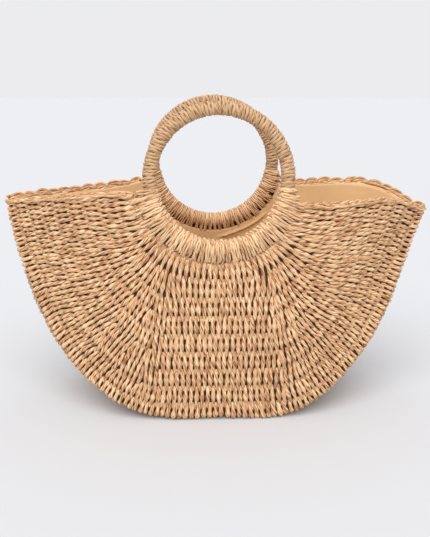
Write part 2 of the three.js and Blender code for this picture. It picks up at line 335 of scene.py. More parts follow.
class Weave:
    """Lays the strands out on one half of the wall, from the ring's seam to the base's middle line."""

    TURNS = 361
    PANEL_STEPS, EDGE_STEPS = 100, 81
    BANDS_STEP = 0.05
    EDGE_BANDS = 8  # at most, round the edge and on the base
    RISE = 1e-9  # keeps the bands of a column rising from point to point
    INSIDE = 1.000001  # keeps a place inside the last cell of a grid

    def __init__(self, side, sizes):
        self.side, self.sizes = side, sizes
        self.bands = sizes.panel_bands
        self.turn = np.linspace(-1, 1, self.TURNS)
        self.measure()
        self.lay_out()

    def half_middle(self, band):
        """Half width of the straight middle field at a band."""
        return blend(self.sizes.middle_top, self.sizes.middle_foot, band / self.bands)

    def measure(self):
        """A regular grid of wall points, over turns and bands."""
        stations = wall_stations(self.PANEL_STEPS, self.EDGE_STEPS)
        last = self.PANEL_STEPS - 1
        points = wall_points(self.side, self.turn[:, None], stations[None, :], WALL / 2)
        length = running_length(points)
        band = self.bands * length / length[:, last : last + 1]
        middle = self.TURNS // 2
        z = points[..., 2]
        level = np.interp(-z[:, : last + 1], -z[middle, : last + 1], band[middle, : last + 1])
        above = np.maximum(z[:, : last + 1] - z[middle, 0], 0)
        level = level - above * self.bands / length[middle, last]
        x = np.abs(points[:, : last + 1, 0] - BAG_MIDDLE_X)
        panel_band = band[:, : last + 1]
        flat = np.exp(-np.maximum(x - self.half_middle(panel_band), 0) / self.sizes.middle_fade)
        flat = flat * smooth(panel_band / self.sizes.seam_fade)
        panel_band = np.maximum.accumulate(blend(panel_band, level, flat), axis=1)
        past_panel = length[:, last + 1 :] - length[:, last : last + 1]
        edge_band = panel_band[:, -1:] + past_panel / self.sizes.edge_band
        band = np.concatenate([panel_band, edge_band], axis=1) + self.RISE * np.arange(len(stations))
        self.end = band[:, -1]
        count = int(math.ceil(self.end.max() / self.BANDS_STEP)) + 2
        regular = np.arange(count) * self.BANDS_STEP
        normals = unit(self.side * np.cross(np.gradient(points, axis=0), np.gradient(points, axis=1)))
        grids = []
        for grid in (points, normals):
            grids.append(np.stack([read_along(regular, band[row], grid[row]) for row in range(self.TURNS)]))
        self.points, self.normals = grids[0], unit(grids[1])

    def sample(self, grid, turn, band):
        """Reads a grid between its points."""
        column = np.clip((turn + 1) / 2 * (self.TURNS - 1), 0, self.TURNS - self.INSIDE)
        row = np.clip(band / self.BANDS_STEP, 0, grid.shape[1] - self.INSIDE)
        i, j = column.astype(int), row.astype(int)
        a, b = (column - i)[..., None], (row - j)[..., None]
        top = grid[i, j] * (1 - a) + grid[i + 1, j] * a
        bottom = grid[i, j + 1] * (1 - a) + grid[i + 1, j + 1] * a
        return top * (1 - b) + bottom * b

    def band_line(self, band):
        """Points along the middle of a band, one for each turn of the grid."""
        return self.sample(self.points, self.turn, np.full(self.TURNS, band + 0.5))

    def lay_out(self):
        """The turn of every strand in every band, for the middle field and both side fields."""
        pitch = self.sizes.strand_pitch
        self.middle, self.fields = [], {LEFT: [], RIGHT: []}
        for band in range(self.bands):
            line = self.band_line(band)
            half = 2 * round(self.half_middle(band + 0.5) / (2 * pitch))
            index = np.arange(-half, half)
            self.middle.append((index, self._middle_turn(band, index)))
            length = running_length(line)
            for hand in (LEFT, RIGHT):
                mitre = np.interp(BAG_MIDDLE_X + hand * half * pitch, line[:, 0], length)
                rim = length[-1] if hand == RIGHT else 0.0
                count = 2 * max(1, round(abs(rim - mitre) / (2 * self.sizes.side_pitch)))
                places = blend(mitre, rim, (np.arange(count) + 0.5) / count)
                self.fields[hand].append((half, np.interp(places, length, self.turn)))

    def strands(self, field, band):
        """Number of each strand of a field, counted from the bag's middle, and its turn in one band."""
        if field == 0:
            return self.middle[band]
        half, turn = self.fields[field][band]
        order = np.arange(len(turn))
        return (half + order if field == RIGHT else -half - 1 - order), turn

    def last_band(self, turn):
        """Where strands meet the middle line, in bands, and the last band with floats of their own."""
        end = np.interp(turn, self.turn, self.end)
        return end, np.maximum(np.round(end - self.bands), 1) + self.bands - 1

    def followers(self, before, after, band):
        """For each strand of one band, its place in the next. New strands enter in pairs, mostly on the
        diagonal between the upright middle field and the level rim."""
        pairs = (after - before) // 2
        if pairs <= 0:
            return np.linspace(0, after - 1, before)
        golden = (math.sqrt(5) - 1) / 2
        quantile = (np.arange(pairs) + (band * golden) % 1) / pairs
        shares = blend(self.sizes.enter_from, self.sizes.enter_to, quantile**self.sizes.enter_skew)
        entries = np.sort(2 * np.round(shares * before / 2))
        index = np.arange(before)
        return index + 2 * np.searchsorted(entries, index, side="right")

    def floats(self, field):
        """Rows of (turn before, turn, turn after, band) for the visible floats of a field. The first ones
        come out from under the ring's loops, between those of the first band."""
        index, turn = self.strands(field, 0)
        rows = [self._rows(turn, turn, turn, self.sizes.seam_band)[index % 2 == 1]]
        for band in range(self.bands):
            index, turn = self.strands(field, band)
            if field == 0:
                before = self._middle_turn(max(band - 1, 0), index)
                after = self._middle_turn(min(band + 1, self.bands - 1), index)
            else:
                before, after = self._side_turns(field, band, turn)
            rows.append(self._rows(before, turn, after, band)[(index + band) % 2 == 0])
        return np.concatenate(rows + self._edge_rows(index, turn))

    def _rows(self, before, turn, after, band):
        return np.stack([before, turn, after, np.full(len(turn), band)], axis=1)

    def _middle_turn(self, band, index):
        x = BAG_MIDDLE_X + (index + 0.5) * self.sizes.strand_pitch
        return np.interp(x, self.band_line(band)[:, 0], self.turn)

    def _side_turns(self, field, band, turn):
        """Where the strands of a side field lie in the bands before and after one."""
        before, after = turn, turn
        if band > 0:
            previous = self.fields[field][band - 1][1]
            places = self.followers(len(previous), len(turn), band)
            order = np.arange(len(turn))
            line = np.interp(order, places, np.arange(len(previous)))
            line = line + np.minimum(order - places[0], 0) * self.sizes.mitre_lean
            before = self._field_turn(previous, line)
        if band + 1 < self.bands:
            following = self.fields[field][band + 1][1]
            after = self._field_turn(following, self.followers(len(turn), len(following), band + 1))
        return before, after

    def _field_turn(self, turns, places):
        first = turns[0] + (turns[1] - turns[0]) * places
        return np.where(places < 0, first, np.interp(places, np.arange(len(turns)), turns))

    def _edge_rows(self, index, turn):
        """Floats that carry on round the edge and over the base to the middle line."""
        last = self.last_band(turn)[1]
        rows = []
        for band in range(self.bands, self.bands + self.EDGE_BANDS):
            seen = ((index + band) % 2 == 0) & (band <= last)
            rows.append(self._rows(turn, turn, turn, band)[seen])
        return rows


def weave_floats(weave, rows, pitch, cords, random):
    """Sweeps the floats of one field as leaf-shaped lengths of twisted cord."""
    sizes = weave.sizes
    count = len(rows)
    before, turn, after, band = (rows[:, i][:, None] for i in range(4))
    u = np.linspace(-sizes.float_reach, sizes.float_reach, sizes.float_steps)[None, :]
    jitter = random.normal(0, 1, (count, 4))[:, :, None]
    place = turn + (after - before) / 2 * u + (after - 2 * turn + before) / 2 * u * u
    end, last = weave.last_band(turn)
    stretch = np.where(band >= last, end - band, 1.0)
    here = np.clip(band + (u + 0.5) * stretch, 0, np.where(band >= last, end, np.inf))
    place = np.clip(place, -1, 1)
    path = weave.sample(weave.points, place, here)
    up = unit(weave.sample(weave.normals, place, here))
    sideways = unit(np.cross(unit(np.gradient(path, axis=1)), up))
    bow = np.cos(math.pi * u)
    out = sizes.float_rise * np.maximum(bow, -FLOAT_ENDS_BELOW)
    out = out + sizes.float_uneven * (jitter[:, 0] + FLOAT_TILT_OUT * jitter[:, 1] * u)
    aside = sizes.float_uneven * (jitter[:, 2] + FLOAT_TILT_ASIDE * jitter[:, 3] * u)
    path = path + up * out[..., None]
    path = path + sideways * aside[..., None]
    shape = np.interp(np.abs(u), *FLOAT_OUTLINE)
    fit = 1 + FLOAT_WIDTH_SPREAD * jitter[:, 1]
    half_width = sizes.float_width / 2 * pitch / sizes.strand_pitch * shape * fit
    half_height = sizes.float_thickness / 2 * (FLOAT_DIP_HEIGHT + (1 - FLOAT_DIP_HEIGHT) * bow)
    path[..., 2] = np.maximum(path[..., 2], half_height)
    tone = tone_of(random.normal(0, 1, (count, 1)), middle=0.5, spread=0.15)
    cords.add(path, up, half_width, half_height, tone, offset=random.uniform(0, 2 * math.pi, (count, 1, 1)))


def ring_point(side, angle, out, across):
    """A point by its angle from the ring's lowest point, its distance from the ring's centre and its place
    along the ring's axis."""
    sin, cos = math.sin(side * RING_LEAN), math.cos(side * RING_LEAN)
    x, y, z = out * np.sin(angle), across, -out * np.cos(angle)
    return np.stack([x, y * cos - z * sin, y * sin + z * cos], axis=-1) + ring_centre(side)


def wound_on_ring(side, angle, around, radius):
    """Path of a cord on a ring's tube and, along it, the way out from the tube's middle."""
    path = ring_point(side, angle, RING_MEAN_RADIUS + radius * np.cos(around), radius * np.sin(around))
    return path, unit(path - ring_point(side, angle, RING_MEAN_RADIUS, 0.0))


def slow_noise(random, count, spacing):
    """Random values with a new one every so many steps and straight lines between them."""
    knots = random.normal(0, 1, int(count / spacing) + 3)
    return np.interp(np.arange(count) / spacing, np.arange(len(knots)), knots)


class NodeMaker:
    """Adds nodes to a new material and wires them."""

    def __init__(self, name):
        self.material = bpy.data.materials.new(name)
        self.material.use_nodes = True
        self.tree = self.material.node_tree
        self.shader = self.tree.nodes["Principled BSDF"]

    def feed(self, socket, value):
        """Wires another node's output to a socket, or sets the socket to a plain value."""
        if isinstance(value, bpy.types.NodeSocket):
            self.tree.links.new(value, socket)
        else:
            socket.default_value = value

    def add(self, kind, **inputs):
        node = self.tree.nodes.new(kind)
        for key, value in inputs.items():
            self.feed(node.inputs[key.replace("_", " ")], value)
        return node

    def mix(self, factor, first, second):
        node = self.tree.nodes.new("ShaderNodeMix")
        node.data_type = "RGBA"
        for index, value in ((0, factor), (6, first), (7, second)):
            self.feed(node.inputs[index], value)
        return node.outputs[2]

    def calculate(self, operation, *values):
        node = self.tree.nodes.new("ShaderNodeMath")
        node.operation = operation
        for socket, value in zip(node.inputs, values):
            self.feed(socket, value)
        return node.outputs[0]

    def spread(self, value, low, high, to_low, to_high):
        limits = {"From_Min": low, "From_Max": high, "To_Min": to_low, "To_Max": to_high}
        return self.add("ShaderNodeMapRange", Value=value, **limits).outputs["Result"]

    def tinted(self, colour, layers):
        """Lays more colours over a first one, each where a noise goes from one value to another."""
        for noise, low, high, to_low, to_high, other in layers:
            colour = self.mix(self.spread(noise, low, high, to_low, to_high), colour, other)
        return colour

    def attribute(self, name, output):
        node = self.tree.nodes.new("ShaderNodeAttribute")
        node.attribute_name = name
        return node.outputs[output]

    def noise(self, vector, scale, detail=2.0, roughness=0.5):
        """Noise of that many bumps a metre, one number for all directions or one for each."""
        if isinstance(scale, tuple):
            vector = self.add("ShaderNodeMapping", Vector=vector, Scale=scale).outputs["Vector"]
            scale = 1.0
        node = self.add("ShaderNodeTexNoise", Vector=vector, Scale=scale, Detail=detail, Roughness=roughness)
        return node.outputs["Fac"]

    def place(self):
        return self.tree.nodes.new("ShaderNodeTexCoord").outputs["Object"]

    def relief(self, height, strength, distance):
        node = self.add("ShaderNodeBump", Strength=strength, Distance=distance, Height=height)
        return node.outputs["Normal"]

    def surface(self, **inputs):
        for key, value in inputs.items():
            self.feed(self.shader.inputs[key.replace("_", " ")], value)
        return self.material


def straw_material(name, colours, keys, painted_fold_light):
    """Twisted paper straw: folds that climb round the cord, with a painted highlight on their crests and
    painted shade in their creases, fine fibres, a tone for each length and slow stains."""
    maker = NodeMaker(name)
    dark, light, shade, painted_gleam = (tuple(getattr(colours, key)) for key in keys)
    fibre = maker.attribute("fibre", "Vector")
    folds = maker.noise(fibre, (820, 820, 95), 1.5, 0.55)
    fibres = maker.noise(fibre, (2600, 2600, 180))
    stain = maker.noise(maker.place(), 14.0, 3.0)
    layers = (
        # Painted highlight on the crests of the folds
        (folds, 0.5, 0.66, 0.0, 0.75 * painted_fold_light, painted_gleam),
        # Painted shade in the creases of the folds; the fibres and the stains below are the straw's own
        # colour
        (folds, 0.34, 0.47, 0.85 * painted_fold_light, 0.0, shade),
        (fibres, 0.3, 0.55, 0.25, 0.0, shade),
        (stain, 0.45, 0.75, 0.0, 0.1, shade),
    )
    colour = maker.tinted(maker.mix(maker.attribute("tone", "Fac"), dark, light), layers)
    normal = maker.relief(maker.calculate("MULTIPLY_ADD", fibres, 0.12, folds), strength=0.9, distance=0.0011)
    return maker.surface(Base_Color=colour, Roughness=0.5, Specular_IOR_Level=0.25, Normal=normal)


def cloth_material(name, colour, shade):
    """Plain woven lining cloth."""
    maker = NodeMaker(name)
    place = maker.place()
    threads = [maker.noise(place, scale, 1.0) for scale in ((2600, 2600, 300), (300, 300, 2600))]
    height = maker.calculate("ADD", *threads)
    stain = maker.noise(place, 18.0, 3.0)
    # Stains, and painted shade where the relief of the threads is low
    colour = maker.tinted(colour, ((stain, 0.35, 0.7, 0.0, 0.3, shade), (height, 0.7, 1.2, 0.25, 0.0, shade)))
    normal = maker.relief(height, strength=0.4, distance=0.0003)
    return maker.surface(Base_Color=colour, Roughness=0.9, Specular_IOR_Level=0.2, Normal=normal)


def backing_material(name, colour):
    """Straw behind the floats, in a dark colour that is painted shade for the gaps between them, mottled by
    noise towards half that colour.
    """
    maker = NodeMaker(name)
    dark = (*[value * 0.5 for value in colour[:3]], 1.0)
    noise = maker.noise(maker.place(), (700, 700, 700))
    return maker.surface(Base_Color=maker.mix(noise, dark, colour), Roughness=0.9)


def linear(red, green, blue):
    """Screen colour to the linear values that shaders use, with full alpha."""
    values = []
    for value in (red, green, blue):
        value = value / 255
        values.append(value / 12.92 if value <= 0.04045 else ((value + 0.055) / 1.055) ** 2.4)
    return (*values, 1.0)


def metres(name, note, default):
    return bpy.props.FloatProperty(
        name=name, description=note, default=default, min=0.0, precision=5, unit="LENGTH", subtype="DISTANCE"
    )


def number(name, note, default):
    return bpy.props.FloatProperty(name=name, description=note, default=default, precision=3)


def whole_number(name, note, default):
    return bpy.props.IntProperty(name=name, description=note, default=default, min=2)


def degrees(name, note, default):
    return bpy.props.FloatProperty(
        name=name, description=note, default=math.radians(default), subtype="ANGLE"
    )


def tint(name, note, *screen):
    return bpy.props.FloatVectorProperty(
        name=name, description=note, default=linear(*screen), size=4, min=0.0, max=1.0, subtype="COLOR"
    )


class WeaveSizes(bpy.types.PropertyGroup):
    """Sizes of the woven panels, edge and base."""

    panel_bands: whole_number("Panel bands", "Bands from seam to edge", 8)
    strand_pitch: metres("Strand pitch", "Between neighbouring strands of the middle field", 0.00264)
    side_pitch: metres("Side pitch", "Between neighbouring strands of the side fields", 0.00245)
    edge_band: metres("Edge band", "Length of a band round the edge and on the base", 0.017)
    middle_top: metres("Middle top", "Half width of the straight middle field at the seam", 0.042)
    middle_foot: metres("Middle foot", "Half width of the straight middle field at the edge", 0.065)
    middle_fade: metres("Middle fade", "How far outside the middle field its bands stay level", 0.020)
    seam_fade: number("Seam fade", "Bands that it takes to go from the seam's arc to level", 2.5)
    seam_band: number("Seam band", "Band of the floats that come out from under the loops", -0.78)
    enter_from: number("Enter from", "Share of a side field, from the mitre, where new strands start", 0.04)
    enter_to: number("Enter to", "Share of a side field, from the mitre, where the last ones start", 0.62)
    enter_skew: number("Enter skew", "Above 1, more of the new strands start near the mitre", 1.4)
    mitre_lean: number("Mitre lean", "How far the strands that start at the mitre lean", 0.5)
    float_width: metres("Float width", "Widest part of a float", 0.0054)
    float_thickness: metres("Float thickness", "Thickness of a float", 0.0034)
    float_rise: metres("Float rise", "How far a float bows out of the wall", 0.0012)
    float_reach: number("Float reach", "Half length of a float in bands", 0.65)
    float_uneven: metres("Unevenness", "How far a float strays from its place", 0.00028)
    float_steps: whole_number("Float steps", "Sections along a float", 12)
    cord_lay: metres("Cord lay", "Length of one turn of the cord's twist", 0.034)


class HandleSizes(bpy.types.PropertyGroup):
    """Sizes of the cord on the ring handles and their bindings."""

    wrap_pitch: metres("Wrap pitch", "Distance between wraps on the ring", 0.0031)
    wrap_cord: metres("Wrap cord", "Diameter of the ring's wrapping cord", 0.0035)
    wrap_waver: metres("Wrap waver", "How far the wraps waver to each side", 0.00035)
    loop_pitch: metres("Loop pitch", "Distance between the binding's loops at the seam", 0.0056)
    loop_cord: metres("Loop cord", "Diameter of the binding's cord", 0.0026)
    loop_top: degrees("Loop top", "How far round the ring the loops of the outer face go", 122)
    loop_over: degrees("Loop over", "How far round the ring the loops of the inner face go", 168)
    loop_reach: metres("Loop reach", "How far the longer loops reach over the panel", 0.007)
    loop_uneven: metres("Loop unevenness", "How unevenly the loops end", 0.0014)
    cord_lay: metres("Cord lay", "Length of one turn of the cord's twist", 0.030)


class BraidSizes(bpy.types.PropertyGroup):
    """Sizes of the braids along the top edges."""

    scallop: metres("Scallop", "Distance between the braid's arches", 0.0128)
    height: metres("Height", "Rise of an arch at the back", 0.0042)
    front_share: number("Front share", "Rise of an arch at the front, as a share of the back's", 0.36)
    depth: metres("Depth", "How far an arch passes in and out of the rim", 0.0016)
    cord: metres("Cord", "Diameter of the braid's cord", 0.0026)
    cord_lay: metres("Cord lay", "Length of one turn of the cord's twist", 0.026)


class LiningSizes(bpy.types.PropertyGroup):
    """Sizes of the cloth lining."""

    inset: metres("Inset", "Depth of the cloth below the wall's outer face", 0.0059)
    thickness: metres("Thickness", "Thickness of the cloth", 0.0006)
    slack: metres("Slack", "How far the cloth hangs off the wall", 0.0025)
    above: metres("Above", "How far the cloth goes up behind the ring's loops", 0.0028)
    fold: metres("Fold", "How far the crease under the back ring stands off", 0.0032)
    fold_below: metres("Fold below", "From the back ring's loops to that crease, at its low end", 0.0060)
    fold_near: metres("Fold near", "From the back ring's loops to that crease, further up", 0.0030)
    fold_width: metres("Fold width", "Half width of that crease", 0.0009)


class StageSizes(bpy.types.PropertyGroup):
    """The floor, the light and the camera."""

    aim: bpy.props.FloatVectorProperty(
        name="Aim", description="Where the camera looks", default=(-0.0037, -0.0051, 0.1343), unit="LENGTH"
    )
    distance: metres("Distance", "From the camera to its aim", 0.700)
    azimuth: degrees("Azimuth", "Camera's angle round the bag", -2.4)
    elevation: degrees("Elevation", "Camera's angle above the floor", 14.3)
    focal: bpy.props.FloatProperty(name="Focal length", description="In millimetres", default=57.18)
    backdrop: tint("Backdrop", "Colour of the sky behind the bag", 236, 236, 238)
    floor: tint("Floor", "Colour of the floor", 204, 205, 207)
    key_azimuth: degrees("Key azimuth", "The lamp's angle round the bag", -12)
    key_elevation: degrees("Key elevation", "The lamp's angle above the floor", 52)
    key_spread: degrees("Key spread", "How wide the lamp looks from the bag", 60)
    key_strength: number("Key strength", "The lamp's light in watts per square metre", 2.3)


class BagColours(bpy.types.PropertyGroup):
    """Colours of the straw and the cloth."""

    straw_dark: tint("Straw, dark", "Darkest lengths of straw", 194, 148, 104)
    # Also the painted highlight on the crests of the ring cord's folds
    straw_light: tint("Straw, light", "Lightest lengths of straw", 226, 182, 138)
    # Painted shade in the creases of the straw's folds; also the colour of the straw's fine fibres and slow
    # stains, and the lighter tone of the dark hoop and strip under the handles' cords
    straw_stain_and_shade: tint("Straw, shade", "Creases between the folds", 130, 72, 32)
    # Painted highlight laid on the crests of the straw's folds
    painted_gleam: tint("Straw, gleam", "Crests of the folds", 255, 226, 182)
    # Painted shade: this dark colour of the strands behind the floats, and of the hoop and strip under the
    # handles' cords, stands in for the shadow in the gaps between them
    painted_shade_backing: tint("Backing", "Strands behind the gaps", 78, 38, 16)
    ring_dark: tint("Ring, dark", "Darkest lengths of the handle cord", 188, 153, 115)
    ring_light: tint("Ring, light", "Lightest lengths of the handle cord", 210, 177, 139)
    loop_light: tint("Loops, light", "Lightest lengths of the loops", 255, 216, 170)
    lining: tint("Lining", "Colour of the cloth", 222, 184, 136)
    # Stains in the cloth, and painted shade in the low parts of the threads' relief
    lining_stain_and_shade: tint("Lining, shade", "Colour in the weave of the cloth", 200, 154, 106)


class BagSettings(bpy.types.PropertyGroup):
    """Everything that shapes and colours the bag."""

    weave: bpy.props.PointerProperty(type=WeaveSizes)
    handles: bpy.props.PointerProperty(type=HandleSizes)
    braids: bpy.props.PointerProperty(type=BraidSizes)
    lining: bpy.props.PointerProperty(type=LiningSizes)
    stage: bpy.props.PointerProperty(type=StageSizes)
    colours: bpy.props.PointerProperty(type=BagColours)


def direction(azimuth, elevation):
    """Unit vector from the bag, by the angle round it from the front and the angle above the floor."""
    level = math.cos(elevation)
    return Vector((math.sin(azimuth) * level, -math.cos(azimuth) * level, math.sin(elevation)))


def turn_to_bag(thing, towards):
    """Turns a camera or a lamp that lies in that direction from the bag so that it looks at the bag."""
    thing.rotation_mode = "QUATERNION"
    thing.rotation_quaternion = (-towards).to_track_quat("-Z", "Y")


class STRAWBAG_OT_stage(bpy.types.Operator):
    """Lay the floor, hang the lights and set the camera"""

    bl_idname = "straw_bag.stage"
    bl_label = "Stage"

    FLOOR_RADIUS = 60.0
    FLOOR_SIDES = 64

    def execute(self, context):
        sizes = context.scene.straw_bag.stage
        self.make_camera(context.scene, sizes)
        self.make_floor(sizes)
        self.make_lights(context.scene, sizes)
        return {"FINISHED"}

    def make_camera(self, scene, sizes):
        data = bpy.data.cameras.new("camera")
        data.sensor_fit = "HORIZONTAL"
        data.lens = sizes.focal
        data.clip_start = 0.01
        camera = bpy.data.objects.new("camera", data)
        scene.collection.objects.link(camera)
        back = direction(sizes.azimuth, sizes.elevation)
        camera.location = Vector(sizes.aim) + back * sizes.distance
        turn_to_bag(camera, back)
        scene.camera = camera

    def make_floor(self, sizes):
        """A wide flat floor that runs out to the horizon."""
        angle = 2 * math.pi * np.arange(self.FLOOR_SIDES) / self.FLOOR_SIDES
        points = np.stack([np.cos(angle), np.sin(angle), np.zeros_like(angle)], axis=-1) * self.FLOOR_RADIUS
        mesh = bpy.data.meshes.new("floor")
        mesh.from_pydata(points.tolist(), [], [list(range(self.FLOOR_SIDES))])
        maker = NodeMaker("floor_paper")
        paper = maker.surface(Base_Color=tuple(sizes.floor), Roughness=0.9, Specular_IOR_Level=0.1)
        mesh.materials.append(paper)
        floor = bpy.data.objects.new("floor", mesh)
        bpy.context.scene.collection.objects.link(floor)

    def make_lights(self, scene, sizes):
        """An even sky in the backdrop's colour and one wide soft lamp, high to the left of the camera."""
        world = bpy.data.worlds.new("studio")
        world.use_nodes = True
        world.node_tree.nodes["Background"].inputs["Color"].default_value = tuple(sizes.backdrop)
        scene.world = world
        data = bpy.data.lights.new("key", "SUN")
        data.angle = sizes.key_spread
        data.energy = sizes.key_strength
        key = bpy.data.objects.new("key", data)
        key.location = direction(sizes.key_azimuth, sizes.key_elevation)
        turn_to_bag(key, key.location)
        scene.collection.objects.link(key)
        scene.view_settings.view_transform = "Standard"


class STRAWBAG_OT_weave(bpy.types.Operator):
    """Weave the front and back panels, the edge and the base"""

    bl_idname = "straw_bag.weave"
    bl_label = "Woven Body"

    SIDES_OF_CORD = 10
    FIELDS = {"left": LEFT, "middle": 0, "right": RIGHT}
    BACKING_FACES = (0.0026, 0.0043)  # depths of the backing's two faces below the wall's outer face
    BACKING_TURNS, BACKING_STEPS, BACKING_EDGE = 121, 30, 17

    def execute(self, context):
        settings = context.scene.straw_bag
        sizes, colours = settings.weave, settings.colours
        straw = straw_material("straw", colours, STRAW_COLOURS, WOVEN_PAINTED_FOLD_LIGHT)
        random = np.random.default_rng(SEED)
        for name, side in SIDES.items():
            weave = Weave(side, sizes)
            edge = Cords(self.SIDES_OF_CORD, sizes.cord_lay)
            for field_name, field in self.FIELDS.items():
                rows = weave.floats(field)
                pitch = sizes.side_pitch if field else sizes.strand_pitch
                on_panel = rows[:, 3] < weave.bands
                panel = Cords(self.SIDES_OF_CORD, sizes.cord_lay)
                weave_floats(weave, rows[on_panel], pitch, panel, random)
                weave_floats(weave, rows[~on_panel], pitch, edge, random)
                panel.piece(f"{name}_{field_name}_weave", straw, "straw_weave")
            edge.piece(f"{name}_edge_weave", straw, "straw_weave")
        self.make_backing(colours)
        return {"FINISHED"}

    def make_backing(self, colours):
        """The strands behind the floats, as one closed wall that fills the gaps."""
        turn = np.linspace(-1, 1, self.BACKING_TURNS)[:, None]
        down = wall_stations(self.BACKING_STEPS, self.BACKING_EDGE)
        loops = []
        for inset in self.BACKING_FACES:
            front = wall_points(FRONT, turn, down[None, :], inset)
            back = wall_points(BACK, turn, down[None, ::-1][:, 1:], inset)
            loops.append(np.concatenate([front, back], axis=1))
        loop = np.concatenate([loops[0], loops[1][:, ::-1]], axis=1)
        columns, rows = loop.shape[1], loop.shape[0]
        faces = grid_faces(columns, rows, close_columns=True).tolist()
        half = columns // 2
        for row, order in ((0, 1), (rows - 1, -1)):
            for i in range(half - 1):
                corners = [i, i + 1, columns - 2 - i, columns - 1 - i]
                faces.append([row * columns + c for c in corners[::order]])
        # The backing's dark colour is painted shade that fills the gaps between the floats
        straw = backing_material("backing_straw_painted_shade", tuple(colours.painted_shade_backing))
        painted_shade_backing = new_piece("wall_backing", loop, faces, straw)
        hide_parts("basket_body")


